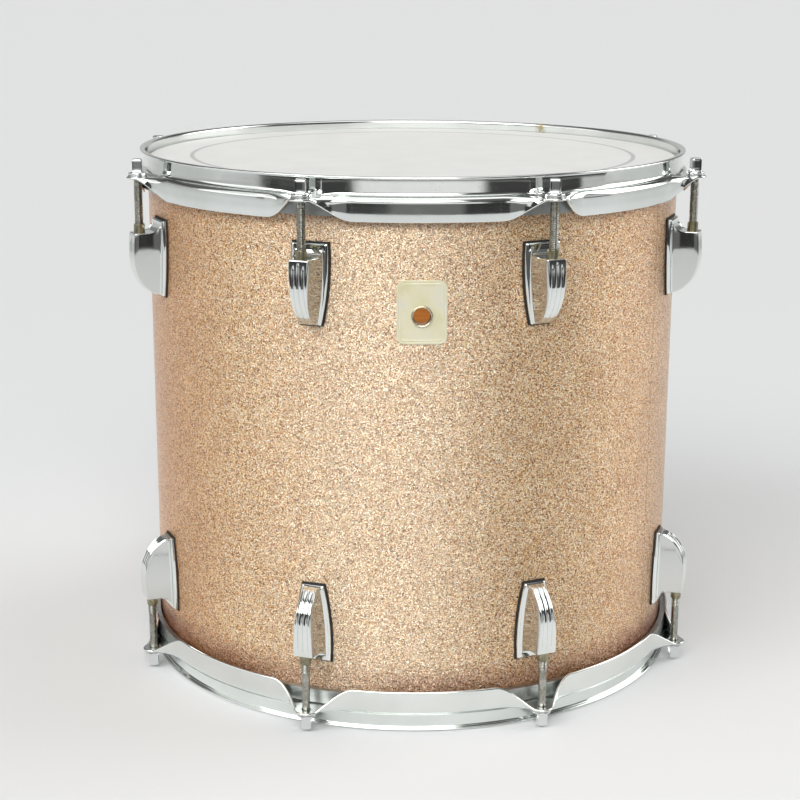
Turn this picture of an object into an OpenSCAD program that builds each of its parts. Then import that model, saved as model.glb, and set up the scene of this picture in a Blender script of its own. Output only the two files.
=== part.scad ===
// Tom tom drum: a wrapped wooden shell with two heads, two triple-flanged hoops,
// and eight lugs, swivel nuts and tension rods at each end.
// Millimetres, +Z up, origin on the axis in the plane that the lower rim stands on.
// The badge faces -Y, and each lug's own frame has +X pointing out from the shell.

/* [Shell] */
// Outside diameter over the wrap
drum_d = 355.6; // [340:0.1:370]
// Height of the shell between its bearing edges
shell_h = 330.2; // [280:0.1:360]
// Thickness of the plies
shell_t = 5.5; // [5:0.1:7]
// Thickness of the glued wrap
wrap_t = 0.5; // [0.4:0.05:0.6]
// Height of each reinforcement ring
ring_h = 38; // [25:1:42]
// Thickness of each reinforcement ring
ring_t = 5; // [4:0.5:6]
// Angle of the wrap's seam from the front
seam_angle = 58; // [50:1:62]

/* [Hoops] */
// Height of a hoop from its rim to the edge of its skirt
hoop_h = 26.4; // [25:0.1:30]
// Sheet thickness of a hoop
hoop_t = 1.6; // [1.4:0.1:1.8]
// Height of the upper rim above the shell
upper_reach = 6.3; // [5.5:0.1:8.5]
// Distance of the lower rim below the shell
lower_reach = 8.7; // [5.5:0.1:8.9]
// Depth of an ear's top face below the rim
ear_depth = 12.3; // [12:0.1:13]

/* [Lugs] */
// Height of a lug's base plate
lug_h = 49; // [48:0.5:52]
// Distance from the shell's edge to the near end of a lug
lug_inset = 34; // [32:0.5:38]
// Distance of a rod's axis from the wrap
rod_offset = 14.7; // [14.6:0.05:14.8]
// Thickness of a lug's walls
lug_wall = 1.7; // [1.5:0.1:1.8]

/* [Rods] */
// Major diameter of the rod's thread
thread_d = 5.49; // [5.3:0.01:5.5]
// Width of the square key head across its flats
key_w = 6.35; // [6:0.05:6.5]
// Depth below the rim of the rod's tip
rod_tip_depth = 62; // [58:0.5:62]

/* [Badge] */
// Width of the badge
badge_w = 30; // [26:0.5:34]
// Height of the badge
badge_h = 38.6; // [34:0.2:42]
// Bore of the vent
vent_d = 10.4; // [9:0.1:11]
// Angle of the badge from the middle between two lugs
badge_angle = -1; // [-2:0.5:2]

/* [Hidden] */
$fn = 96;
lug_count = 8;

gap = 0.02;                                 // glue line between pieces of one body
drum_r = drum_d / 2;
ply_r = drum_r - wrap_t;                    // outside of the plies
ply_in_r = ply_r - shell_t;                 // inside of the plies
overall_h = lower_reach + shell_h + upper_reach;
shell_low = lower_reach;
shell_top = lower_reach + shell_h;
crest_r = ply_r - 2;                        // radius of the bearing edge's crest
rod_r = drum_r + rod_offset;                // radius of the circle of rods

film_t = 0.25;
control_in_r = 148;                         // inner edge of the control ring
film_wall_r = drum_r + 1.2;                 // outside of the film's collar
flesh_r = film_wall_r + 3.4;                // outside of the flesh hoop
flesh_depth = ear_depth + hoop_t + 0.2;     // top of the flesh hoop below the rim
flesh_h = 9.4;

collar_r = drum_r + 3.2;                    // outside of a hoop's collar
skirt_r = collar_r + 3.6;                   // outside of a hoop's skirt
lip_r = collar_r + 1.9;                     // outside of a hoop's lip
lip_round = hoop_t / 2;
ear_r = 7.2;                                // round end of an ear
ear_hw = 7.9;                               // half width of an ear at its root
ear_hole_r = 3.3;
wing_run = hoop_h - ear_depth;              // how far a wing slopes down, and along

washer_t = 1;
washer_r = 6;
flange_t = 1.3;
flange_r = 5.75;
head_depth = 1.1;                           // top of a rod's head below the rim
shank_r = 2.43;
thread_r = thread_d / 2;
upper_thread_depth = 17;                    // where the thread starts on an upper rod
lower_thread_depth = 38;                    // and on a lower rod

gasket_t = 1;
gasket_rim = 0.9;                           // how far a gasket shows round its lug
plate_u = 3.4;                              // front of a lug's base plate, from the wrap
shelf_w = 7.6;                              // drop from a lug's near end to its shelf
face_u = 19.8;                              // front of a lug at its shelf
belly_u = 20.5;                             // and where it stands furthest out
belly_w = 19;
rib_w = 25.5;                               // the rib that the spring stands on
rib_t = 1.5;
screw_ws = [13.5, 41];
screw_r = 2;
boss_r = 3.4;
boss_u = 8.5;
web_u = 5.5;
nut_r = 3.45;
nut_hole_r = 3.7;
nut_bore_r = thread_r + 0.055;
nut_stand = 5.5;                            // how far a nut stands out of its lug
nut_block_h = 6.6;
spring_r = 3.45;
spring_wire_r = 0.35;
spring_turns = 4;
spring_steps = 10;                          // segments in a turn

badge_t = 0.8;
badge_corner = 5;
badge_z = shell_low + 256.6;
vent_z = badge_z - 2.5;
grommet_t = 0.6;
grommet_flange_r = 6.6;

// ---------- helpers ----------

// Points on an arc about c, from angle a0 to a1.
function arc(c, r, a0, a1, n = 8) =
    [for (k = [0:n]) let (a = a0 + (a1 - a0) * k / n) [c[0] + r * cos(a), c[1] + r * sin(a)]];

function lug_angle(i) = -90 + (i - 0.5) * 360 / lug_count;

module at_lug(i) rotate([0, 0, lug_angle(i)]) children();
module at_lugs() for (i = [1:lug_count]) at_lug(i) children();

// Frames in which z is minus the depth below a rim.
module upper_end() translate([0, 0, overall_h]) children();
module lower_end() mirror([0, 0, 1]) children();

// Frames in which z is minus the distance from a lug's near end.
module upper_lug_place() translate([0, 0, shell_top - lug_inset]) children();
module lower_lug_place() translate([0, 0, shell_low + lug_inset]) mirror([0, 0, 1]) children();

// A ring about Z between two radii and two heights.
module ring(r0, r1, z0, z1) rotate_extrude() polygon([[r0, z0], [r1, z0], [r1, z1], [r0, z1]]);

// A cylinder along +X, from x0 to x1.
module x_cylinder(r, x0, x1) translate([x0, 0, 0]) rotate([0, 90, 0]) cylinder(r = r, h = x1 - x0);

// Extrudes an outline of [y, z] points along +X, from x0 to x1.
module x_prism(points, x0, x1)
    translate([x0, 0, 0]) rotate([90, 0, 90]) linear_extrude(x1 - x0) polygon(points);

// Extrudes a profile of [x, z] points along Y, from -hw to hw.
module y_prism(points, hw)
    translate([0, hw, 0]) rotate([90, 0, 0]) linear_extrude(2 * hw) polygon(points);

// ---------- shell ----------

module screw_holes(r)
    at_lugs() {
        for (w = screw_ws) {
            upper_lug_place() translate([0, 0, -w]) x_cylinder(r, ply_in_r - 3, drum_r + 2);
            lower_lug_place() translate([0, 0, -w]) x_cylinder(r, ply_in_r - 3, drum_r + 2);
        }
    }

module at_badge(z) rotate([0, 0, -90 + badge_angle]) translate([0, 0, z]) children();

module vent_hole(r) at_badge(vent_z) x_cylinder(r, ply_in_r - 3, drum_r + 3);

module shell() {
    inner_cut = crest_r - ply_in_r;
    edge = [[ply_in_r, inner_cut], [crest_r, 0], [crest_r + 1.3, 0.6], [ply_r, 2.4]];
    color("burlywood") translate([0, 0, shell_low]) difference() {
        rotate_extrude() polygon(concat(
            edge,
            [for (k = [len(edge) - 1:-1:0]) [edge[k][0], shell_h - edge[k][1]]]));
        translate([0, 0, -shell_low]) {
            screw_holes(screw_r + 0.3);
            vent_hole(vent_d / 2 + grommet_t + 0.1);
        }
    }
}

// A reinforcement ring whose bevel carries the bearing edge's inner cut on.
module reinforcement_ring() {
    out_r = ply_in_r - gap;
    bevel = crest_r - out_r;
    color("burlywood") rotate_extrude() polygon([
        [out_r, bevel], [out_r, ring_h], [out_r - ring_t + 2, ring_h],
        [out_r - ring_t, ring_h - 3], [out_r - ring_t, bevel + ring_t]]);
}

module wrap() {
    color("tan") difference() {
        rotate([0, 0, -90 + seam_angle]) rotate_extrude(angle = 359.86) polygon([
            [ply_r + gap, shell_low + 3], [drum_r, shell_low + 3],
            [drum_r, shell_top - 3], [ply_r + gap, shell_top - 3]]);
        screw_holes(screw_r + 0.3);
        vent_hole(vent_d / 2 + grommet_t + 0.1);
    }
}

module badge() {
    hw = badge_w / 2 - badge_corner;
    hh = badge_h / 2 - badge_corner;
    outline = concat(
        arc([hw, hh], badge_corner, 0, 90), arc([-hw, hh], badge_corner, 90, 180),
        arc([-hw, -hh], badge_corner, 180, 270), arc([hw, -hh], badge_corner, 270, 360));
    color("lightgoldenrodyellow") difference() {
        intersection() {
            ring(drum_r + gap, drum_r + badge_t, badge_z - badge_h, badge_z + badge_h);
            at_badge(badge_z) x_prism(outline, drum_r - 5, drum_r + 5);
        }
        vent_hole(vent_d / 2 + grommet_t + 0.1);
    }
}

// An eyelet through the badge, the wrap and the plies, with a rolled flange at each end.
module vent_grommet() {
    in_x = ply_in_r - 1.1;
    out_x = drum_r + badge_t;
    color("silver") at_badge(vent_z) difference() {
        union() {
            x_cylinder(vent_d / 2 + grommet_t, in_x, out_x + 0.8);
            x_cylinder(grommet_flange_r, out_x + gap, out_x + 0.8);
            x_cylinder(grommet_flange_r, in_x, in_x + 0.8);
        }
        x_cylinder(vent_d / 2, in_x - 1, out_x + 2);
    }
}

// ---------- heads ----------

// A film stretched over a bearing edge and turned down inside its flesh hoop.
// Its frame is the rim's, and reach is the rim's distance beyond the shell.
module head_film(reach) {
    top = -reach + film_t;
    foot = -(flesh_depth + flesh_h - 1);
    in_r = film_wall_r - film_t;
    color("whitesmoke") rotate_extrude() polygon([
        [0, top], [crest_r, top], [crest_r + 2.0, top - 0.55], [in_r - 0.55, top - 2.0],
        [film_wall_r - 0.25, top - 3.6], [film_wall_r, top - 5], [film_wall_r, foot], [in_r, foot],
        [in_r, top - 5.05], [in_r - 0.25, top - 3.75], [in_r - 0.77, top - 2.2],
        [crest_r + 1.85, top - 0.78], [crest_r, top - film_t], [0, top - film_t]]);
}

module control_ring()
    color("gainsboro") ring(control_in_r, ply_in_r - 1, shell_top - 0.25 - gap, shell_top - gap);

module flesh_hoop() {
    in_r = film_wall_r + gap;
    foot = -(flesh_depth + flesh_h);
    color("silver") rotate_extrude() polygon([
        [in_r, -flesh_depth - 0.6], [in_r + 0.6, -flesh_depth], [flesh_r - 0.6, -flesh_depth],
        [flesh_r, -flesh_depth - 0.6], [flesh_r, foot], [in_r, foot]]);
}

// ---------- hoops ----------

// The sheet's section as [radius, depth] points: lip, collar, shoulder and skirt.
function hoop_section() =
    let (in_r = collar_r - hoop_t, bend = skirt_r - hoop_t)
    concat(
        [[in_r + 1.2, 0]],
        arc([lip_r - lip_round, lip_round], lip_round, -90, 90),
        [[collar_r + 0.6, hoop_t], [collar_r, hoop_t + 0.6]],
        arc([bend, ear_depth - 2], 2, 180, 90),
        arc([bend, ear_depth + hoop_t], hoop_t, -90, 0),
        [[skirt_r, hoop_h - 0.5], [skirt_r - 0.5, hoop_h], [bend + 0.4, hoop_h], [bend, hoop_h - 0.4]],
        arc([bend, ear_depth - 2], 2 + hoop_t, 90, 180),
        [[in_r, 1.2]]);

// The outer edge of a wing, from t = 0 at the ear to t = 1 at the skirt's edge.
function wing_edge(t) = skirt_r - 0.7 + (rod_r + 1 - skirt_r) * (1 + cos(180 * t)) / 2;

// A sloping plate from an ear's side down to the skirt, on the +Y side of the ear.
module wing() {
    slope = wing_run * sqrt(2) - hoop_t;
    steps = 8;
    points = concat(
        [[skirt_r - 0.9, 0]],
        [for (k = [0:steps]) [wing_edge(k / steps), slope * k / steps]],
        [[skirt_r - 2.3, slope]]);
    translate([0, ear_hw, -ear_depth]) rotate([-45, 0, 0]) translate([0, 0, -hoop_t])
        linear_extrude(hoop_t) polygon(points);
}

module ear() {
    translate([0, 0, -ear_depth - hoop_t]) linear_extrude(hoop_t) {
        translate([rod_r, 0]) circle(r = ear_r);
        polygon([[skirt_r - 1.6, -ear_hw - 0.6], [rod_r + 1, -ear_hw], [rod_r + 1, ear_hw],
                 [skirt_r - 1.6, ear_hw + 0.6]]);
    }
    wing();
    mirror([0, 1, 0]) wing();
}

// The part of the skirt that is drawn out to make an ear.
module skirt_cut() {
    top = ear_depth + hoop_t;
    lean = hoop_t * (sqrt(2) - 1);
    x_prism([[-ear_hw + lean, -top], [ear_hw - lean, -top],
             [ear_hw - lean + wing_run, -top - wing_run], [-ear_hw + lean - wing_run, -top - wing_run]],
            collar_r - 6, skirt_r + 2);
}

module hoop() {
    color("gainsboro") difference() {
        union() {
            difference() {
                rotate_extrude() polygon([for (p = hoop_section()) [p[0], -p[1]]]);
                at_lugs() skirt_cut();
            }
            at_lugs() ear();
        }
        at_lugs() translate([rod_r, 0, -ear_depth - 3]) cylinder(r = ear_hole_r, h = 4);
    }
}

module rod_washers()
    color("silver") at_lugs() translate([rod_r, 0, -ear_depth + gap]) difference() {
        cylinder(r = washer_r, h = washer_t);
        translate([0, 0, -1]) cylinder(r = ear_hole_r - 0.3, h = washer_t + 2);
    }

// ---------- tension rods ----------

module rod(thread_depth) {
    flange_low = -ear_depth + washer_t + 2 * gap;
    head_h = -head_depth - flange_low - flange_t;
    color("silver") translate([rod_r, 0, 0]) {
        translate([0, 0, flange_low]) {
            cylinder(r = flange_r, h = flange_t);
            translate([0, 0, flange_t]) cylinder(r1 = flange_r - 0.8, r2 = key_w / 2, h = 1.6);
            translate([-key_w / 2, -key_w / 2, flange_t]) cube([key_w, key_w, head_h - 0.8]);
            translate([0, 0, flange_t + head_h - 0.8]) cylinder(r1 = key_w / 2, r2 = 2.2, h = 0.8);
        }
        translate([0, 0, -thread_depth]) cylinder(r = shank_r, h = flange_low + thread_depth);
        translate([0, 0, -rod_tip_depth + 1]) cylinder(r = thread_r, h = rod_tip_depth - 1 - thread_depth);
        translate([0, 0, -rod_tip_depth]) cylinder(r1 = thread_r - 0.8, r2 = thread_r, h = 1);
    }
}

// ---------- lugs: w runs from the near end, u out from the wrap ----------

function plate_hw(w) = 11.6 - pow(w - 10, 2) / 330;
function body_hw(w) = 8.8 - pow(w - 10, 2) / 400;
function front_u(w) = w < belly_w
    ? face_u + (belly_u - face_u) * (w - shelf_w) / (belly_w - shelf_w)
    : belly_u * sqrt(1 - pow((w - belly_w) / (lug_h + 0.2 - belly_w), 2));

// A list of stations from w0 to w1.
function stations(w0, w1, n) = [for (k = [0:n]) w0 + (w1 - w0) * k / n];

// The outline of one side of a plate or body and its mirror image, as [y, z].
function outline(ws, hws) = concat(
    [for (k = [0:len(ws) - 1]) [hws[k], -ws[k]]],
    [for (k = [len(ws) - 1:-1:0]) [-hws[k], -ws[k]]]);

module plate_prism(grow, r0, r1) {
    ws = stations(-grow, lug_h + grow, 12);
    intersection() {
        ring(r0, r1, -lug_h - 5, 5);
        x_prism(outline(ws, [for (w = ws) plate_hw(w) + grow]), drum_r - 8, drum_r + 8);
    }
}

// The space inside a lug's front and sides, drawn in by inset.
module body_space(inset) {
    ws = concat(stations(shelf_w + inset, belly_w, 3), stations(belly_w + 2, lug_h - 0.1 - inset, 12));
    scoop = inset > 0 ? [] : arc([plate_u + 6.2, 1.2], 6.2, 180, 90, 6);
    side = concat(
        inset > 0 ? [[0, -shelf_w - inset]] : [[0, -1.2]],
        [for (p = scoop) [p[0], -p[1]]],
        [for (w = ws) [front_u(w) - inset, -w]],
        [[0, -lug_h + inset]]);
    hws = stations(0.1, lug_h, 12);
    draft = 0.155;
    depth = belly_u + 1;
    translate([drum_r, 0, 0]) intersection() {
        y_prism(side, 12);
        x_prism(outline(hws, [for (w = hws) body_hw(w) - inset]), -5, depth);
        translate([0, 0, -lug_h - 1]) linear_extrude(lug_h + 2) polygon([
            [-5, 8.8 - inset], [plate_u, 8.8 - inset], [depth, 8.8 - inset - draft * (depth - plate_u)],
            [depth, -8.8 + inset + draft * (depth - plate_u)], [plate_u, -8.8 + inset], [-5, -8.8 + inset]]);
    }
}

// A groove down a lug's front, at y, starting w0 from the near end.
module face_groove(y, w0) {
    ws = stations(w0, lug_h - 3, 14);
    band = concat([for (w = ws) [front_u(w) - 0.7, -w]],
                  [for (k = [len(ws) - 1:-1:0]) [front_u(ws[k]) + 1, -ws[k]]]);
    translate([drum_r, y, 0]) y_prism(band, 0.35);
}

// The two posts that take a lug's screws, each on a web between the side walls.
module screw_bosses()
    for (w = screw_ws)
        translate([0, 0, -w]) difference() {
            union() {
                hw = body_hw(w) - lug_wall + 0.8;
                x_cylinder(boss_r, drum_r - 1, drum_r + boss_u);
                translate([drum_r - 1, -hw, -0.8]) cube([web_u + 1, 2 * hw, 1.6]);
            }
            translate([0, 0, -6]) cylinder(r = drum_r + gasket_t + gap, h = 12);
        }

module lug() {
    color("gainsboro") difference() {
        union() {
            difference() {
                union() {
                    plate_prism(0, drum_r + gasket_t + gap, drum_r + 2.6);
                    plate_prism(-0.9, drum_r + 2, drum_r + plate_u);
                    difference() {
                        body_space(0);
                        translate([0, 0, -lug_h - 1]) cylinder(r = drum_r + 2, h = lug_h + 2);
                    }
                }
                difference() {
                    body_space(lug_wall);
                    translate([0, 0, -rib_w - rib_t])
                        translate([drum_r, -20, 0]) cube([40, 40, rib_t]);
                }
            }
            screw_bosses();
        }
        for (w = screw_ws) translate([0, 0, -w]) x_cylinder(screw_r + 0.06, drum_r - 3, drum_r + boss_u - 1);
        translate([rod_r, 0, -shelf_w - lug_wall - 1]) cylinder(r = nut_hole_r, h = lug_wall + 8);
        translate([rod_r, 0, -rib_w - rib_t - 1]) cylinder(r = thread_r + 0.4, h = rib_t + 2);
        face_groove(0, shelf_w + 2);
        for (y = [-2.9, 2.9]) face_groove(y, shelf_w + 4);
    }
}

module lug_gasket()
    color("black") difference() {
        plate_prism(gasket_rim, drum_r + gap, drum_r + gasket_t);
        for (w = screw_ws) translate([0, 0, -w]) x_cylinder(screw_r + 0.3, drum_r - 3, drum_r + 5);
    }

module swivel_nut() {
    under_shelf = -shelf_w - lug_wall - 0.1;
    color("darkkhaki") translate([rod_r, 0, 0]) difference() {
        union() {
            translate([0, 0, under_shelf - nut_block_h]) {
                cylinder(r = nut_r, h = nut_block_h + nut_stand + lug_wall + 0.1);
                translate([-3.3, -4.2, 0]) cube([6.6, 8.4, nut_block_h]);
            }
        }
        translate([0, 0, under_shelf - nut_block_h - 1]) cylinder(r = nut_bore_r, h = 30);
    }
}

// A coil from the nut's block down to the rib, swept from a square section of the wire.
module lug_spring() {
    top = -shelf_w - lug_wall - nut_block_h - 0.35;
    low = -rib_w + 0.15;
    climb = top - low - 2 * spring_wire_r;
    count = spring_turns * spring_steps;
    points = [for (k = [0:count]) let (a = 360 * k / spring_steps, z = low + spring_wire_r + climb * k / count)
        for (s = [0:3]) let (r = spring_r + spring_wire_r * cos(90 * s))
            [r * cos(a), r * sin(a), z + spring_wire_r * sin(90 * s)]];
    skin = [for (k = [0:count - 1]) for (s = [0:3]) let (a = 4 * k + s, b = 4 * k + (s + 1) % 4)
        for (face = [[a, b, b + 4], [a, b + 4, a + 4]]) face];
    last = 4 * count;
    ends = [[0, 2, 1], [0, 3, 2], [last, last + 1, last + 2], [last, last + 2, last + 3]];
    color("silver") translate([rod_r, 0, 0]) polyhedron(points, concat(skin, ends), convexity = 8);
}

module lug_screws() {
    seat = sqrt(ply_in_r * ply_in_r - 25) - 1.05;
    color("silver") for (w = screw_ws) translate([0, 0, -w]) difference() {
        union() {
            x_cylinder(screw_r, seat - 2, drum_r + boss_u - 1.5);
            x_cylinder(3.9, seat - 2.6, seat - gap);
        }
        translate([seat - 3, -2.6, -0.5]) cube([1.6, 5.2, 1]);
        translate([seat - 3, -0.5, -2.6]) cube([1.6, 1, 5.2]);
    }
}

module screw_washers() {
    seat = sqrt(ply_in_r * ply_in_r - 25) - 1.05;
    color("silver") for (w = screw_ws) translate([0, 0, -w]) difference() {
        x_cylinder(5, seat, seat + 1);
        x_cylinder(screw_r + 0.2, seat - 1, seat + 2);
    }
}

// ---------- the nodes ----------

shell();
translate([0, 0, shell_top]) mirror([0, 0, 1]) reinforcement_ring();  // upper_reinforcement_ring
translate([0, 0, shell_low]) reinforcement_ring();  // lower_reinforcement_ring
wrap();
badge();
vent_grommet();
upper_end() head_film(upper_reach);  // batter_head_film
control_ring();  // batter_control_ring
upper_end() flesh_hoop();  // batter_flesh_hoop
lower_end() head_film(lower_reach);  // resonant_head_film
lower_end() flesh_hoop();  // resonant_flesh_hoop
upper_end() hoop();  // batter_hoop
lower_end() hoop();  // resonant_hoop
upper_end() rod_washers();  // upper_rod_washers
lower_end() rod_washers();  // lower_rod_washers
upper_lug_place() at_lugs() swivel_nut();  // upper_swivel_nuts
lower_lug_place() at_lugs() swivel_nut();  // lower_swivel_nuts
upper_lug_place() at_lugs() lug_spring();  // upper_lug_springs
lower_lug_place() at_lugs() lug_spring();  // lower_lug_springs
upper_lug_place() at_lugs() lug_gasket();  // upper_lug_gaskets
lower_lug_place() at_lugs() lug_gasket();  // lower_lug_gaskets
upper_lug_place() at_lugs() lug_screws();  // upper_lug_screws
lower_lug_place() at_lugs() lug_screws();  // lower_lug_screws
upper_lug_place() at_lugs() screw_washers();  // upper_screw_washers
lower_lug_place() at_lugs() screw_washers();  // lower_screw_washers
for (i = [1:lug_count]) {
    upper_lug_place() at_lug(i) lug();
    lower_lug_place() at_lug(i) lug();
    upper_end() at_lug(i) rod(upper_thread_depth);
    lower_end() at_lug(i) rod(lower_thread_depth);
}
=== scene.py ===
"""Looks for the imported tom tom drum: finer meshes, materials, camera and light around the CAD frame.

Shapes are worked out in millimetres and turned into metres by add_piece. A rim's own frame is
(radius, depth), with depth measured from that rim towards the middle of the drum. A lug's own frame
is (u, y, w): u out from the wrap, y across, and w from the lug's near end towards its tip.
"""
import math

import bmesh
import bpy
import numpy as np
from mathutils import Matrix, Vector


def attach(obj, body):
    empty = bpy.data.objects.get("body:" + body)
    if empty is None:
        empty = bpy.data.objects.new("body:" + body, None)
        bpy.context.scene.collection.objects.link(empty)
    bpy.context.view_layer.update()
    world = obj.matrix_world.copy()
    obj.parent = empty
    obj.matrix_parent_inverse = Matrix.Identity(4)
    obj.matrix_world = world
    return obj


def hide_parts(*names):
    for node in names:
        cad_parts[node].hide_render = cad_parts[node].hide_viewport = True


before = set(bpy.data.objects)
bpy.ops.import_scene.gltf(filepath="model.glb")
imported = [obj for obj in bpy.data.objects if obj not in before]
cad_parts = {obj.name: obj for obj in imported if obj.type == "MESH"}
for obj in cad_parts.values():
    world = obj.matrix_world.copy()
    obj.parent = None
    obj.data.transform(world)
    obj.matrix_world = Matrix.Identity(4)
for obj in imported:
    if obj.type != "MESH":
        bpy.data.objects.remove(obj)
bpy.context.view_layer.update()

MM = 0.001

# The drum, as in part.scad
LUG_COUNT = 8
DRUM_R = 177.8
PLY_R = 177.3
PLY_IN_R = 171.8
SHELL_LOW = 8.7
SHELL_TOP = 338.9
OVERALL_H = 345.2
UPPER_REACH = 6.3
LOWER_REACH = 8.7
ROD_R = 192.5
LUG_INSET = 34.0

LUG_ANGLES = [math.radians(-90 + (i + 0.5) * 360 / LUG_COUNT) for i in range(LUG_COUNT)]


# ---------- meshes ----------

def add_piece(name, verts, faces, material, body, nodes=(), sharp=32.0):
    """Makes a smooth-shaded mesh object from points in millimetres, and rides it on a body."""
    mesh = bpy.data.meshes.new(name)
    mesh.from_pydata((np.asarray(verts, float) * MM).tolist(), [], faces)
    bm = bmesh.new()
    bm.from_mesh(mesh)
    bmesh.ops.remove_doubles(bm, verts=bm.verts, dist=1e-7)
    bmesh.ops.recalc_face_normals(bm, faces=bm.faces)
    bm.to_mesh(mesh)
    bm.free()
    finish_mesh(mesh, material, sharp)
    obj = bpy.data.objects.new(name, mesh)
    bpy.context.scene.collection.objects.link(obj)
    if body:
        place_piece(obj, body, nodes)
    return obj


def finish_mesh(mesh, material, sharp):
    mesh.polygons.foreach_set("use_smooth", [True] * len(mesh.polygons))
    mesh.set_sharp_from_angle(angle=math.radians(sharp))
    mesh.materials.clear()
    mesh.materials.append(material)


def place_piece(obj, body, nodes):
    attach(obj, body)
    if nodes:
        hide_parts(*nodes)


def cut_away(obj, cutter_verts, cutter_faces, material, sharp=32.0):
    """Subtracts a closed mesh from obj, and leaves the result as plain mesh data."""
    cutter = add_piece("cutter", cutter_verts, cutter_faces, material, None)
    modifier = obj.modifiers.new("cut", "BOOLEAN")
    modifier.operation = "DIFFERENCE"
    modifier.solver = "MANIFOLD"
    modifier.object = cutter
    graph = bpy.context.evaluated_depsgraph_get()
    cut = bpy.data.meshes.new_from_object(obj.evaluated_get(graph))
    obj.modifiers.clear()
    obj.data = cut
    bpy.data.objects.remove(cutter)
    finish_mesh(cut, material, sharp)


def loop_faces(rings, count, closed_rings=False):
    """Quads between rings of count points each; closed_rings joins the last ring to the first."""
    faces = []
    for i in range(rings if closed_rings else rings - 1):
        a = i * count
        b = (i + 1) % rings * count
        for k in range(count):
            n = (k + 1) % count
            faces.append((a + k, a + n, b + n, b + k))
    return faces


def turned(profile, segments=96):
    """A closed [radius, z] profile turned about Z, as vertices and faces."""
    profile = np.asarray(profile, float)
    angles = np.arange(segments) * 2 * math.pi / segments
    verts = np.stack([
        np.outer(np.cos(angles), profile[:, 0]),
        np.outer(np.sin(angles), profile[:, 0]),
        np.tile(profile[:, 1], (segments, 1))], axis=-1).reshape(-1, 3)
    return verts, loop_faces(segments, len(profile), closed_rings=True)


def spun_stack(radii, heights, segments):
    """A solid of stacked rings: radii is (rings, segments), and both ends are capped."""
    angles = np.arange(segments) * 2 * math.pi / segments
    verts = np.stack([
        radii * np.cos(angles), radii * np.sin(angles),
        np.repeat(np.asarray(heights, float)[:, None], segments, axis=1)], axis=-1).reshape(-1, 3)
    rings = len(heights)
    faces = loop_faces(rings, segments)
    faces.append(tuple(range(segments)))
    faces.append(tuple(range((rings - 1) * segments, rings * segments)))
    return verts, faces


def joined(parts):
    """Several (vertices, faces) pairs as one."""
    verts, faces, offset = [], [], 0
    for part_verts, part_faces in parts:
        verts.append(np.asarray(part_verts, float))
        faces.extend(tuple(v + offset for v in face) for face in part_faces)
        offset += len(part_verts)
    return np.concatenate(verts), faces


def spun_to(verts, angle):
    """Points turned about the drum's axis."""
    c, s = math.cos(angle), math.sin(angle)
    return np.asarray(verts, float) @ np.array([[c, s, 0], [-s, c, 0], [0, 0, 1]])


def from_rim(verts, end):
    """Points whose z is minus the depth below a rim, put at the upper or lower end."""
    verts = np.array(verts, float)
    verts[:, 2] = verts[:, 2] + OVERALL_H if end == "upper" else -verts[:, 2]
    return verts


def from_lug(verts, end):
    """Points whose z is minus the distance from a lug's near end, put at the upper or lower end."""
    verts = np.array(verts, float)
    if end == "upper":
        verts[:, 2] += SHELL_TOP - LUG_INSET
    else:
        verts[:, 2] = SHELL_LOW + LUG_INSET - verts[:, 2]
    return verts


def at_rod(verts):
    """Points about Z, moved out to the circle of rods."""
    return np.asarray(verts, float) + [ROD_R, 0, 0]


def at_every_rod(verts, faces):
    """One copy of a shape about Z on the axis of each of an end's rods."""
    return joined([(spun_to(at_rod(verts), angle), faces) for angle in LUG_ANGLES])


def smooth(t):
    t = np.clip(t, 0, 1)
    return t * t * (3 - 2 * t)


def unit(v):
    return v / np.maximum(np.linalg.norm(v, axis=-1, keepdims=True), 1e-12)


def rounded(radius_z, corners, steps=5):
    """A closed [radius, z] outline with its corners rounded: corners holds a radius for each point."""
    points = np.asarray(radius_z, float)
    out = []
    for i, (p, r) in enumerate(zip(points, corners)):
        if r <= 0:
            out.append(p)
            continue
        before, after = unit(points[i - 1] - p), unit(points[(i + 1) % len(points)] - p)
        for t in np.linspace(0, 1, steps):
            out.append(p + before * r * (1 - t) ** 2 + after * r * t ** 2)
    return np.array(out)


# ---------- materials ----------

def maths_node(tree, kind, operation, a, b):
    """A maths node whose two inputs are each a number, a vector, a socket or left alone."""
    node = tree.nodes.new(kind)
    node.operation = operation
    for socket, value in zip(node.inputs, (a, b)):
        if isinstance(value, (int, float, tuple)):
            socket.default_value = value
        elif value is not None:
            tree.links.new(value, socket)
    return node


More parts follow.
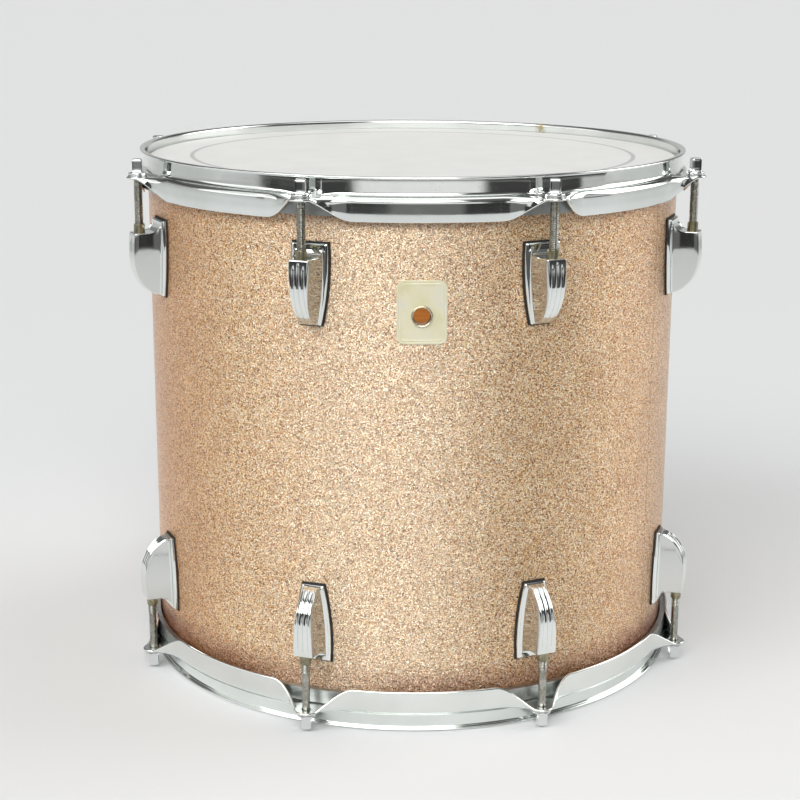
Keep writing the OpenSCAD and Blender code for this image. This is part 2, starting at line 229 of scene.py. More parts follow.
class Shader:
    """A material whose nodes are added by short calls."""

    def __init__(self, name, **sockets):
        self.material = bpy.data.materials.new(name)
        self.material.use_nodes = True
        self.tree = self.material.node_tree
        self.bsdf = self.tree.nodes["Principled BSDF"]
        for socket, value in sockets.items():
            self.bsdf.inputs[socket.replace("_", " ")].default_value = value
        self.place = self.add("ShaderNodeTexCoord").outputs["Object"]

    def add(self, kind, links=None, values=None, **settings):
        node = self.tree.nodes.new(kind)
        for key, value in settings.items():
            setattr(node, key, value)
        for key, value in (values or {}).items():
            node.inputs[key].default_value = value
        for key, source in (links or {}).items():
            self.tree.links.new(source, node.inputs[key])
        return node

    def noise(self, scale, detail=3.0, roughness=0.55, vector=None, distortion=0.0):
        return self.add("ShaderNodeTexNoise", {"Vector": vector or self.place},
                        {"Scale": scale, "Detail": detail, "Roughness": roughness,
                         "Distortion": distortion}).outputs["Fac"]

    def voronoi(self, scale):
        return self.add("ShaderNodeTexVoronoi", {"Vector": self.place}, {"Scale": scale}).outputs

    def ramp(self, source, stops):
        node = self.add("ShaderNodeValToRGB", {"Fac": source})
        elements = node.color_ramp.elements
        while len(elements) < len(stops):
            elements.new(0.5)
        for element, (position, colour) in zip(elements, stops):
            element.position = position
            element.color = (*colour, 1)
        return node.outputs["Color"]

    def remap(self, source, low, high, out_low, out_high):
        """A value carried in a straight line from low..high to out_low..out_high, and held outside."""
        limits = {"From Min": low, "From Max": high, "To Min": out_low, "To Max": out_high}
        return self.add("ShaderNodeMapRange", {"Value": source}, limits).outputs[0]

    def maths(self, operation, a, b=None):
        return maths_node(self.tree, "ShaderNodeMath", operation, a, b).outputs[0]

    def vector_maths(self, operation, a, b=None):
        node = maths_node(self.tree, "ShaderNodeVectorMath", operation, a, b)
        return node.outputs["Value" if operation == "DOT_PRODUCT" else "Vector"]

    def mix(self, factor, a, b, blend_type="MIX"):
        node = self.add("ShaderNodeMix", data_type="RGBA", blend_type=blend_type)
        for socket, value in ((node.inputs[0], factor), (node.inputs[6], a), (node.inputs[7], b)):
            if isinstance(value, (int, float)):
                socket.default_value = value
            elif isinstance(value, tuple):
                socket.default_value = (*value, 1)
            else:
                self.tree.links.new(value, socket)
        return node.outputs[2]

    def tinted(self, colour, tint):
        return self.mix(1.0, colour, tint, "MULTIPLY")

    def bump(self, height, distance, normal=None):
        links = {"Height": height}
        if normal is not None:
            links["Normal"] = normal
        return self.add("ShaderNodeBump", links, {"Strength": 1.0, "Distance": distance}).outputs[0]

    def coordinates(self):
        """The drum's own x, y and z, in metres."""
        return self.add("ShaderNodeSeparateXYZ", {"Vector": self.place}).outputs

    def axis_radius(self):
        """Distance from the drum's axis, in metres."""
        x, y, _ = self.coordinates()
        squares = self.maths("ADD", self.maths("MULTIPLY", x, x), self.maths("MULTIPLY", y, y))
        return self.maths("SQRT", squares)

    def stretched(self, along_z):
        """The drum's coordinates with z scaled up, so that a texture runs round the drum."""
        scale = {"Scale": (1.0, 1.0, along_z)}
        return self.add("ShaderNodeMapping", {"Vector": self.place}, scale).outputs[0]

    def set(self, **links):
        for socket, source in links.items():
            self.tree.links.new(source, self.bsdf.inputs[socket.replace("_", " ")])
        return self.material


def srgb(r, g, b):
    """An sRGB colour in bytes as linear light."""
    return tuple(((c / 255) / 12.92 if c <= 10 else ((c / 255 + 0.055) / 1.055) ** 2.4) for c in (r, g, b))


FLAKES_PER_M = 2050
TILTS_PER_M = 3100


def sparkle_wrap():
    """Small metal flakes of mixed tones, tilted at random under a clear glossy sheet."""
    s = Shader("sparkle_wrap", IOR=2.4, Coat_Weight=0.22, Coat_Roughness=0.04, Coat_IOR=1.36)
    flake = s.add("ShaderNodeSeparateColor", {"Color": s.voronoi(FLAKES_PER_M)["Color"]}).outputs
    tones = s.ramp(flake[0], [
        (0.00, srgb(104, 56, 28)), (0.20, srgb(146, 92, 50)), (0.34, srgb(202, 147, 88)),
        (0.54, srgb(227, 180, 118)), (0.72, srgb(239, 209, 157)), (0.88, srgb(246, 234, 202)),
        (1.00, srgb(250, 248, 240))])
    mottle = s.ramp(s.noise(26, detail=4), [(0.3, (0.92, 0.89, 0.87)), (0.7, (1.0, 1.0, 1.0))])
    rough = s.remap(flake[1], 0, 1, 0.22, 0.42)
    bare = s.remap(flake[0], 0.16, 0.34, 1.0, 0.45)
    return s.set(Base_Color=wrap_with_painted_light(s, s.tinted(tones, mottle)), Normal=flake_normal(s), Roughness=rough,
                 Metallic=bare)


def wrap_with_painted_light(s, colour):
    """The wrap's colour with painted light: paler in front under a painted highlight, darker and more copper
    at the sides under painted shade, and browned near the hoops by painted shade.
    """
    x, _, z = s.coordinates()
    # Painted highlight: paler towards the front middle, standing in for a broad reflection of the front
    # lamps.
    painted_front_highlight = s.remap(s.maths("ABSOLUTE", s.maths("ADD", x, 0.025)), 0.03, 0.09, 0.25, 0.0)
    colour = s.mix(painted_front_highlight, colour, srgb(195, 191, 178))
    # Painted shade: a browner band just above the lower hoop and just below the upper one, where the hoops
    # keep light off the wrap, stronger towards the sides.
    ends = s.maths("MAXIMUM", s.remap(z, 0.029, 0.043, 1.0, 0.0), s.remap(z, 0.312, 0.322, 0.0, 0.7))
    ends = s.maths("MULTIPLY", ends, s.remap(s.noise(14, detail=3), 0.35, 0.6, 0.5, 1.0))
    ends = s.maths("MULTIPLY", ends, s.remap(s.maths("ABSOLUTE", x), 0.04, 0.14, 0.7, 1.0))
    colour = s.mix(ends, colour, s.tinted(colour, (0.46, 0.27, 0.20)))
    # Painted shade: darker and more copper towards the left and right sides, where the wrap reflects less
    # light.
    left, right = s.remap(x, -0.115, -0.172, 0.0, 1.0), s.remap(x, 0.10, 0.172, 0.0, 0.5)
    return s.mix(s.maths("MAXIMUM", left, right), colour, s.tinted(colour, (1.0, 0.75, 0.57)))


def flake_normal(s):
    """The surface normal, leaned by a random amount for each flake, most of all up and down."""
    tilt = s.vector_maths("SUBTRACT", s.voronoi(TILTS_PER_M)["Color"], (0.5, 0.5, 0.5))
    tilt = s.vector_maths("MULTIPLY", tilt, (0.46, 0.46, 1.3))
    facing = s.add("ShaderNodeNewGeometry").outputs["Normal"]
    return s.vector_maths("NORMALIZE", s.vector_maths("ADD", facing, tilt))


MIRROR_ROUGHNESS = 0.045


def chrome(name, tone=(0.84, 0.865, 0.845), ripple=0.00002, wear=0.5, weld_angle=None):
    """Plated steel or zinc: mirror-like, with a slight ripple, haze, fine pits and a rusty weld."""
    s = Shader(name, Metallic=1.0)
    haze = s.noise(30, detail=6)
    smears = s.noise(170, detail=3)
    rough = s.maths("ADD", s.remap(haze, 0.4, 0.75, MIRROR_ROUGHNESS, MIRROR_ROUGHNESS + 0.13 * wear),
                    s.remap(smears, 0.5, 0.8, 0.0, 0.06 * wear))
    pits = s.remap(s.voronoi(420)["Distance"], 0.04, 0.10, 1.0, 0.0)
    pits = s.maths("MULTIPLY", pits, s.remap(s.noise(55, detail=2), 0.56, 0.66, 0.0, 1.0))
    colour = s.mix(s.maths("MULTIPLY", pits, 0.55 * wear), tone, srgb(96, 84, 70))
    colour = s.mix(s.remap(haze, 0.35, 0.7, 0.0, 0.3 * wear), colour, srgb(196, 202, 196))
    relief = pits
    if weld_angle is not None:
        rust = weld_rust(s, weld_angle)
        colour = s.mix(rust, colour, srgb(176, 160, 108))
        rough = s.maths("ADD", rough, s.maths("MULTIPLY", rust, 0.35))
        relief = s.maths("MAXIMUM", pits, rust)
    waves = s.bump(s.noise(75, detail=2), ripple)
    return s.set(Base_Color=colour, Roughness=rough, Normal=s.bump(relief, -0.00003 * wear, waves))


def weld_rust(s, weld_angle):
    """Rust in an upright line where a hoop's ends are welded, and in a few specks elsewhere."""
    sin, cos = math.sin(weld_angle), math.cos(weld_angle)
    across = s.vector_maths("DOT_PRODUCT", s.place, (sin, -cos, 0))
    along = s.vector_maths("DOT_PRODUCT", s.place, (cos, sin, 0))
    near = s.remap(s.maths("ABSOLUTE", across), 0.0012, 0.0055, 1.0, 0.0)
    near = s.maths("MULTIPLY", near, s.maths("GREATER_THAN", along, 0.1))
    weld = s.maths("MULTIPLY", near, s.remap(s.noise(240, detail=4), 0.40, 0.58, 0.15, 0.9))
    specks = s.remap(s.noise(120, detail=5, roughness=0.7), 0.70, 0.78, 0.0, 0.6)
    return s.maths("MAXIMUM", weld, specks)


def worn_metal(name, light, dark, roughness, grain=260):
    """Dull plated or bare metal, mottled between two tones."""
    s = Shader(name, Metallic=1.0)
    patches = s.noise(grain, detail=5, roughness=0.65)
    broad = s.noise(grain * 0.2, detail=3)
    mixed = s.maths("ADD", s.maths("MULTIPLY", patches, 0.6), s.maths("MULTIPLY", broad, 0.4))
    colour = s.ramp(mixed, [(0.36, srgb(*dark)), (0.60, srgb(*light))])
    rough = s.remap(mixed, 0.3, 0.7, roughness + 0.12, roughness - 0.06)
    return s.set(Base_Color=colour, Roughness=rough, Normal=s.bump(patches, 0.00002))


def head_film(name, ring_radius):
    """White polyester with a faint ring where the sheet under it ends, and soft scuffs."""
    s = Shader(name)
    scuffs = s.noise(38, detail=6, roughness=0.7)
    cloud = s.noise(9, detail=3)
    colour = s.ramp(scuffs, [(0.30, srgb(214, 214, 212)), (0.62, srgb(221, 221, 219))])
    colour = s.mix(s.remap(cloud, 0.5, 0.8, 0.0, 0.10), colour, srgb(212, 211, 206))
    if ring_radius:
        off = s.maths("ABSOLUTE", s.maths("SUBTRACT", s.axis_radius(), ring_radius * MM))
        line = s.remap(off, 0.0008, 0.0020, 0.62, 0.0)
        colour = s.mix(line, colour, srgb(150, 151, 151))
    rough = s.remap(scuffs, 0.3, 0.75, 0.42, 0.52)
    grain = s.noise(900, detail=2)
    return s.set(Base_Color=colour, Roughness=rough, Normal=s.bump(grain, 0.000012))


def wood(name, light, dark):
    """Sealed maple: long grain that runs round the drum."""
    s = Shader(name, Coat_Weight=0.25, Coat_Roughness=0.3)
    long = s.stretched(14.0)
    grain = s.noise(26, detail=8, roughness=0.7, vector=long, distortion=0.4)
    pores = s.noise(340, detail=2, vector=long)
    colour = s.ramp(grain, [(0.30, srgb(*dark)), (0.70, srgb(*light))])
    colour = s.mix(s.remap(pores, 0.55, 0.75, 0.0, 0.35), colour, srgb(*(c * 0.6 for c in dark)))
    return s.set(Base_Color=colour, Roughness=s.remap(grain, 0.3, 0.7, 0.55, 0.4),
                 Normal=s.bump(pores, 0.00004))


def rubber(name):
    s = Shader(name)
    dust = s.noise(420, detail=5)
    colour = s.ramp(dust, [(0.40, srgb(16, 15, 15)), (0.75, srgb(46, 43, 41))])
    return s.set(Base_Color=colour, Roughness=s.remap(dust, 0.3, 0.7, 0.55, 0.8),
                 Normal=s.bump(dust, 0.00005))


def sheet_plastic(name):
    s = Shader(name)
    cloud = s.noise(60, detail=4)
    colour = s.ramp(cloud, [(0.35, srgb(212, 212, 208)), (0.65, srgb(226, 226, 222))])
    return s.set(Base_Color=colour, Roughness=s.remap(cloud, 0.3, 0.7, 0.5, 0.4),
                 Normal=s.bump(s.noise(700), 0.00001))


def badge_metal():
    """A pale plate that has yellowed unevenly under its lacquer."""
    s = Shader("badge_metal", Metallic=0.12, Coat_Weight=0.5, Coat_Roughness=0.18)
    cloud = s.noise(55, detail=4, roughness=0.6)
    colour = s.ramp(cloud, [(0.32, srgb(211, 206, 166)), (0.52, srgb(220, 214, 186)),
                            (0.72, srgb(212, 215, 206))])
    lines = s.noise(180, detail=3, vector=s.stretched(30.0))
    return s.set(Base_Color=colour, Roughness=s.remap(lines, 0.3, 0.7, 0.30, 0.44),
                 Normal=s.bump(lines, 0.00001))


WELD_ANGLE = math.radians(54)
MATERIALS = {
    "wrap": sparkle_wrap(),
    "hoop": chrome("hoop_chrome", wear=0.8, ripple=0.00003, weld_angle=WELD_ANGLE),
    "lug": chrome("lug_chrome", wear=0.4, ripple=0.000008),
    # A darker copy of the lug chrome for the lugs' sideways faces: its darker tone is painted shade that
    # stands in for the darker reflection of the wrap there, and its extra roughness is real.
    "lug_side_painted_shade": chrome("lug_side_chrome_painted_shade", tone=(0.68, 0.685, 0.67), wear=0.9, ripple=0.00003),
    "badge": badge_metal(),
    "grommet": worn_metal("grommet_plate", (226, 220, 196), (190, 180, 150), 0.22),
    # The vent tube's inside: its orange-brown is painted light that stands in for the lit inside of the shell
    # seen through the vent.
    "grommet_bore_painted_light": worn_metal("bore_with_painted_inner_light", (112, 78, 44), (64, 42, 24), 0.6),
    "batter_film": head_film("batter_film", 148.3),
    "resonant_film": head_film("resonant_film", None),
    "control_ring": sheet_plastic("control_sheet"),
    "flesh_hoop": worn_metal("flesh_aluminium", (198, 201, 200), (160, 164, 160), 0.34, grain=120),
    "washer": worn_metal("plated_steel", (206, 208, 208), (150, 148, 142), 0.25),
    "rod": worn_metal("rod_nickel", (182, 182, 174), (124, 122, 112), 0.27, grain=420),
    "rod_head": chrome("rod_head_chrome", tone=(0.80, 0.81, 0.82), wear=0.7),
    "swivel_nut": worn_metal("nut_brass", (172, 168, 142), (114, 109, 86), 0.3, grain=340),
    "lug_spring": worn_metal("spring_steel", (150, 150, 150), (96, 94, 92), 0.35),
    "lug_screw": worn_metal("screw_zinc", (190, 192, 190), (140, 140, 134), 0.3),
    "gasket": rubber("gasket_rubber"),
    "shell": wood("shell_maple", (206, 146, 72), (160, 102, 44)),
    "reinforcement_ring": wood("ring_maple", (212, 156, 86), (170, 114, 56)),
}


# ---------- hoops ----------

SHEET_T = 1.6
COLLAR_R = 181.0
SKIRT_R = 184.6
LIP_R = 182.9
HOOP_H = 26.4
EAR_DEPTH = 12.3
EAR_R = 7.2
EAR_HOLE_R = 3.1
TURN_START = 5.8
FLANK_END = 28.0
MID = SHEET_T / 2
# Offsets from upright: the collar under its lip, the skirt, and what the skirt's curled lower edge adds
COLLAR_LEAN = -0.7
SKIRT_LEAN = -0.42
SKIRT_CURL = -0.55


def bezier(p, t):
    """Points at each t of a cubic curve with four control points."""
    t = np.asarray(t)[:, None]
    p = np.asarray(p, float)
    return (1 - t) ** 3 * p[0] + 3 * (1 - t) ** 2 * t * p[1] + 3 * (1 - t) * t * t * p[2] + t ** 3 * p[3]


def half_sector():
    """Columns from an ear's middle to halfway to the next ear: angle, outer radius, and how far the
    sheet turns down, from 0 at the ear to 1 along the skirt."""
    tongue = np.radians(np.linspace(0, 54, 8))
    x, y = ROD_R + EAR_R * np.cos(tongue), EAR_R * np.sin(tongue)
    first_r, first_s = math.hypot(x[-1], y[-1]), math.atan2(y[-1], x[-1]) * SKIRT_R
    flank = bezier([[first_r, first_s], [193.2, 8.6], [184.8, 16.0], [SKIRT_R, FLANK_END]],
                   np.linspace(0, 1, 27)[1:])
    plain = np.linspace(FLANK_END / SKIRT_R, math.pi / LUG_COUNT, 13)[1:]
    angle = np.concatenate([np.arctan2(y, x), flank[:, 1] / SKIRT_R, plain])
    radius = np.concatenate([np.hypot(x, y), flank[:, 0], np.full(len(plain), SKIRT_R)])
    turn = smooth(np.clip((angle * SKIRT_R - TURN_START) / (FLANK_END - TURN_START), 0, 1) ** 0.68)
    return angle, radius, turn


def hoop_columns():
    """Angle, outer radius and turn of every column round the hoop."""
    angle, radius, turn = half_sector()
    angles = np.concatenate([-angle[:0:-1], angle[:-1]])
    radii = np.concatenate([radius[:0:-1], radius[:-1]])
    turns = np.concatenate([turn[:0:-1], turn[:-1]])
    around = np.concatenate([a + angles for a in LUG_ANGLES])
    return around, np.tile(radii, LUG_COUNT), np.tile(turns, LUG_COUNT)


def rounded_paths(points, tangents, straights=4, arc=6):
    """Polylines (columns, corners, 2) with each inner corner replaced by a curve of the given reach."""
    out = []
    start = points[:, 0]
    for i in range(1, points.shape[1] - 1):
        corner = points[:, i]
        before, after = unit(points[:, i - 1] - corner), unit(points[:, i + 1] - corner)
        reach = tangents[i - 1][:, None]
        first, last = corner + before * reach, corner + after * reach
        out += [start + (first - start) * t for t in np.linspace(0, 1, straights)[:-1]]
        out += [first * (1 - t) ** 2 + corner * 2 * t * (1 - t) + last * t * t
                for t in np.linspace(0, 1, arc)[:-1]]
        start = last
    out += [start + (points[:, -1] - start) * t for t in np.linspace(0, 1, straights + 3)]
    return np.stack(out, axis=1)


def hoop_mesh():
    """A pressed hoop in its rim's frame: the sheet's middle surface, thickened, with round edges."""
    around, radius, turn = hoop_columns()
    n = len(around)
    wall = COLLAR_R - MID
    edge_r = radius - MID
    level = EAR_DEPTH + MID
    low = level + turn * (HOOP_H - MID - level)
    shoulder = np.stack([edge_r - 3.0 * (1 - turn) ** 2, level + 0.3 * turn], -1)
    bottom = np.stack([edge_r + (SKIRT_LEAN + SKIRT_CURL) * turn, low], -1)
    above = shoulder * 0.3 + bottom * 0.7
    above[:, 0] += (SKIRT_LEAN - 0.7 * (SKIRT_LEAN + SKIRT_CURL)) * turn
    control = np.stack([
        np.stack([np.full(n, LIP_R - MID), np.full(n, MID)], -1),
        np.stack([np.full(n, wall + COLLAR_LEAN), np.full(n, MID)], -1),
        np.stack([np.full(n, wall), level - 2.1 * turn], -1),
        shoulder, above, bottom], axis=1)
    lengths = np.linalg.norm(np.diff(control, axis=1), axis=-1)
    tangents = [np.full(n, 1.35), np.minimum(2.3, 0.45 * lengths[:, 2]),
                np.minimum(3.2, 0.45 * np.minimum(lengths[:, 2], lengths[:, 3])),
                np.minimum(2.0, 0.45 * lengths[:, 4])]
    path = rounded_paths(control, tangents)
    middle = np.stack([path[..., 0] * np.cos(around)[:, None], path[..., 0] * np.sin(around)[:, None],
                       -path[..., 1]], -1)
    along = np.gradient(middle, axis=1)
    across = np.roll(middle, -1, axis=0) - np.roll(middle, 1, axis=0)
    normal = unit(np.cross(along, across))
    front, back = middle + normal * MID, middle - normal * MID

    def round_edge(end, inner, first_side):
        out_way = unit(middle[:, end] - middle[:, inner])
        sweep = np.linspace(math.pi / 2, -math.pi / 2, 7)[1:-1] * first_side
        return [middle[:, end] + MID * (math.sin(b) * normal[:, end] + math.cos(b) * out_way) for b in sweep]

    section = [front[:, k] for k in range(front.shape[1])]
    section += round_edge(-1, -2, 1)
    section += [back[:, k] for k in range(back.shape[1] - 1, -1, -1)]
    section += round_edge(0, 1, -1)
    grid = np.stack(section, axis=1)
    return grid.reshape(-1, 3), loop_faces(n, grid.shape[1], closed_rings=True)


def build_hoops():
    verts, faces = hoop_mesh()
    hole = spun_stack(np.full((2, 40), EAR_HOLE_R), [-EAR_DEPTH - 5, -EAR_DEPTH + 3], 40)
    holes, hole_faces = at_every_rod(*hole)
    for name, end in (("batter_hoop", "upper"), ("resonant_hoop", "lower")):
        hoop = add_piece("chromed_" + name, from_rim(verts, end), faces, MATERIALS["hoop"], None, sharp=60)
        cut_away(hoop, from_rim(holes, end), hole_faces, MATERIALS["hoop"], sharp=60)
        place_piece(hoop, name + "_body", [name])


# ---------- heads ----------

def film_profile(reach):
    """A film's section in its rim's frame, from its middle over the bearing edge and down its collar."""
    thick = 0.25
    top = thick - reach
    wall = 179.0
    foot = -22.5
    radii = np.concatenate([np.linspace(0.0, 172, 24), np.linspace(173, 175.3, 4)])
    upper = [[r, top] for r in radii]
    bend = [[176.5, top - 0.16], [177.4, top - 0.62], [178.1, top - 1.4], [178.6, top - 2.5],
            [178.9, top - 4.0], [wall, top - 6.0]]
    lower = [[r - thick * (0.55 + 0.07 * k), z - thick * (0.85 - 0.13 * k)] for k, (r, z) in enumerate(bend)]
    flat = [[r, top - thick] for r in radii]
    return upper + bend + [[wall, foot], [wall - thick, foot]] + lower[::-1] + flat[::-1]


def build_heads():
    for name, end, reach in (("batter", "upper", UPPER_REACH), ("resonant", "lower", LOWER_REACH)):
        verts, faces = turned(film_profile(reach), 288)
        add_piece(name + "_film", from_rim(verts, end), faces, MATERIALS[name + "_film"], "shell_body",
                  [name + "_head_film"], sharp=60)


# ---------- rods ----------

THREAD_PITCH = 25.4 / 24
THREAD_R = 2.745
THREAD_ROOT_R = 2.30
SHANK_R = 2.43
KEY_HALF = 6.35 / 2
FLANGE_R = 5.75
ROD_TIP = 62.0
ROD_SIDES = 40


def square_ring(half, power=11.0):
    """Radii of a square with rounded corners, at ROD_SIDES angles."""
    angles = np.arange(ROD_SIDES) * 2 * math.pi / ROD_SIDES
    return half / (np.abs(np.cos(angles)) ** power + np.abs(np.sin(angles)) ** power) ** (1 / power)


def rod_mesh(thread_depth):
    """A tension rod about Z in its rim's frame, from the key head down to the tip."""
    rings, depths = [], []

    def ring(radii, depth):
        rings.append(np.broadcast_to(radii, (ROD_SIDES,)).astype(float))
        depths.append(depth)

    flange_low = EAR_DEPTH - 1.04
    flange_top = flange_low - 1.3
    # The key head: its rounded top, its square, and the cone that widens to the flange
    for share, depth in ((0.30, 1.10), (0.62, 1.16), (0.82, 1.34), (0.94, 1.68), (0.99, 2.1), (1.0, 2.6)):
        ring(square_ring(KEY_HALF * share, 2.0 + 9.0 * share ** 3), depth)
    for depth in np.linspace(3.2, flange_top - 2.0, 5):
        ring(square_ring(KEY_HALF), depth)
    for t in np.linspace(0.15, 1, 7):
        grow = t ** 2.2
        ring(square_ring(KEY_HALF) * (1 - grow) + (FLANGE_R - 0.55) * grow, flange_top - 2.0 * (1 - t) ** 1.2)
    # The flange with its rounded rim, the shank and the thread
    for inset, depth in ((0.18, 0.05), (0.02, 0.28), (0.0, 0.55), (0.0, 0.9), (0.1, 1.18), (0.4, 1.3)):
        ring(FLANGE_R - inset, flange_top + depth)
    ring(SHANK_R + 0.3, flange_low)
    ring(SHANK_R, flange_low + 0.3)
    for depth in np.linspace(flange_low + 1.5, thread_depth - 1, 5):
        ring(SHANK_R, depth)
    angles = np.arange(ROD_SIDES) / ROD_SIDES
    for depth in np.arange(thread_depth, ROD_TIP - 0.9, THREAD_PITCH / 7):
        phase = (depth / THREAD_PITCH + angles) % 1.0
        ridge = np.clip(1.25 - np.abs(phase - 0.5) * 2.9, 0, 1)
        fade = min(1.0, (depth - thread_depth) / 1.2 + 0.05)
        radii = THREAD_ROOT_R + (THREAD_R - THREAD_ROOT_R) * ridge
        ring(SHANK_R + (radii - SHANK_R) * fade, depth)
    ring(THREAD_ROOT_R, ROD_TIP - 0.8)
    ring(THREAD_ROOT_R - 0.5, ROD_TIP)
    return spun_stack(np.array(rings), -np.array(depths), ROD_SIDES)


def build_rods():
    """The rods, with the front ones' key heads almost square to the front and the rest at any angle."""
    random = np.random.default_rng(12)
    for end, thread_depth in (("upper", 16.5), ("lower", 38.0)):
        verts, faces = rod_mesh(thread_depth)
        for i, angle in enumerate(LUG_ANGLES, 1):
            turn = random.uniform(-1, 1)
            turned_verts = spun_to(verts, 0.14 * turn - angle if math.sin(angle) < 0 else 0.78 * turn)
            placed = from_rim(spun_to(at_rod(turned_verts), angle), end)
            name = f"{end}_rod_{i}"
            rod = add_piece("tension_" + name, placed, faces, MATERIALS["rod"], name + "_body", [name],
                            sharp=40)
            rod.data.materials.append(MATERIALS["rod_head"])
            rim = OVERALL_H if end == "upper" else 0.0
            for face in rod.data.polygons:
                face.material_index = int(abs(face.center.z / MM - rim) < EAR_DEPTH)


def build_washers():
    """The flat washers between the rods' flanges and the hoops' ears."""
    profile = rounded([[3.0, 0.02], [6.0, 0.02], [6.0, 1.0], [3.0, 1.0]], [0.1, 0.35, 0.35, 0.1])
    verts, faces = at_every_rod(*turned(profile - [0, EAR_DEPTH], 48))
    for end, hoop in (("upper", "batter_hoop"), ("lower", "resonant_hoop")):
        node = end + "_rod_washers"
        add_piece("plated_" + node, from_rim(verts, end), faces, MATERIALS["washer"], hoop + "_body", [node])


# ---------- lugs ----------

# Names that end in U are distances out from the wrap, and in W, from the lug's near end
LUG_H = 49.0
SHELF_W = 7.6
PLATE_BACK = 1.02
PLATE_SIDE = 2.6
PLATE_U = 3.4
FLAT_U = 9.0
BEVEL = 0.9
FACE_U = 19.6
BELLY_U = 20.5
BELLY_W = 23.0
DRAFT = 0.155
SCOOP_R = 5.6
EDGE_R = 0.75
# Each groove's y, and how far below the shelf it starts
GROOVES = ((0.0, 1.6), (-3.15, 3.6), (3.15, 3.6))
GROOVE_DEPTH = 0.62
GROOVE_HW = 0.52


def plate_hw(w):
    """Half the base plate's width at w."""
    return 11.6 - (w - 10) ** 2 / 330


def body_hw(w):
    """Half the raised body's width at w, where it leaves the plate."""
    return 8.8 - (w - 10) ** 2 / 400


def front_u(w):
    """How far the front stands out at w: rising from the shelf to the belly, then an ellipse to the tip."""
    w = np.asarray(w, float)
    climb = np.clip((w - SHELF_W) / (BELLY_W - SHELF_W), 0, 1)
    upper = FACE_U + (BELLY_U - FACE_U) * np.sin(climb * math.pi / 2)
    lower = BELLY_U * np.sqrt(np.maximum(1 - ((w - BELLY_W) / (LUG_H + 0.2 - BELLY_W)) ** 2, 0))
    return np.where(w < BELLY_W, upper, lower)


def lug_side_path():
    """The side profile as [u, w] points, from scoop to tip, and how many come before the front."""
    turn = np.radians(np.linspace(180, 90, 9))
    scoop = np.stack([PLATE_U + SCOOP_R + SCOOP_R * np.cos(turn),
                      SHELF_W - SCOOP_R + SCOOP_R * np.sin(turn)], -1)
    shelf = np.stack([np.linspace(PLATE_U + SCOOP_R, FACE_U - 1.0, 8)[1:], np.full(7, SHELF_W)], -1)
    bend = np.radians(np.linspace(-90, 0, 7))[1:]
    edge = np.stack([FACE_U - 1.0 + np.cos(bend), SHELF_W + 1.0 + np.sin(bend)], -1)
    ws = np.concatenate([np.linspace(SHELF_W + 1.6, BELLY_W, 12), np.linspace(BELLY_W + 1.2, 42, 18),
                         np.linspace(42.8, 47.9, 9)])
    front = np.stack([np.maximum(front_u(ws), PLATE_U + 0.02), ws], -1)
    return np.concatenate([scoop, shelf, edge, front]), len(scoop) + len(shelf) + len(edge)


def lug_ring(u, w, foot_w, normal, groove):
    """One closed loop of (u, y, w) points round a lug: back, plate rim, side, corner and front."""
    half_plate = plate_hw(foot_w)
    plate_top = half_plate - BEVEL
    rise = max(u - PLATE_U, 0.0)
    fillet = min(1.5, 0.45 * rise)
    plate_in = body_hw(foot_w) + fillet + 0.05
    rim = [(PLATE_BACK, 0.35 * half_plate), (PLATE_BACK, half_plate - 0.1), (PLATE_BACK + 0.1, half_plate),
           (PLATE_SIDE - 0.25, half_plate), (PLATE_SIDE + 0.12, half_plate - 0.12),
           (PLATE_U - 0.12, plate_top + 0.12), (PLATE_U, plate_top - 0.25),
           (PLATE_U, 0.5 * (plate_top + plate_in))]
    points = [(rim_u, rim_y, foot_w) for rim_u, rim_y in rim]
    for a in np.radians(np.linspace(0, 90, 5)):
        points.append((PLATE_U + fillet * (1 - math.cos(a)), plate_in - fillet * math.sin(a), foot_w))
    round_r = min(EDGE_R, 0.3 * rise)
    top = np.array([u, w]) - normal * round_r
    start = np.array([PLATE_U + fillet, foot_w])
    for t in np.linspace(0, 1, 7)[1:]:
        at = start + (top - start) * t
        points.append((at[0], body_hw(at[1]) - DRAFT * (at[0] - PLATE_U), at[1]))
    half_top = body_hw(w) - DRAFT * (u - PLATE_U)
    for a in np.radians(np.linspace(0, 90, 6))[1:]:
        at = np.array([u, w]) - normal * round_r * (1 - math.sin(a))
        points.append((at[0], half_top - round_r * (1 - math.cos(a)), at[1]))
    reach = half_top - round_r
    for y in np.linspace(reach, 0, 27)[1:]:
        dip = sum(GROOVE_DEPTH * strength * math.exp(-((y - at_y) / GROOVE_HW) ** 2)
                  for (at_y, _), strength in zip(GROOVES, groove))
        at = np.array([u, w]) - normal * dip
        points.append((at[0], y, at[1]))
    mirrored = [(p[0], -p[1], p[2]) for p in points[-2::-1]]
    return points + mirrored + [(PLATE_BACK, 0.0, foot_w)]


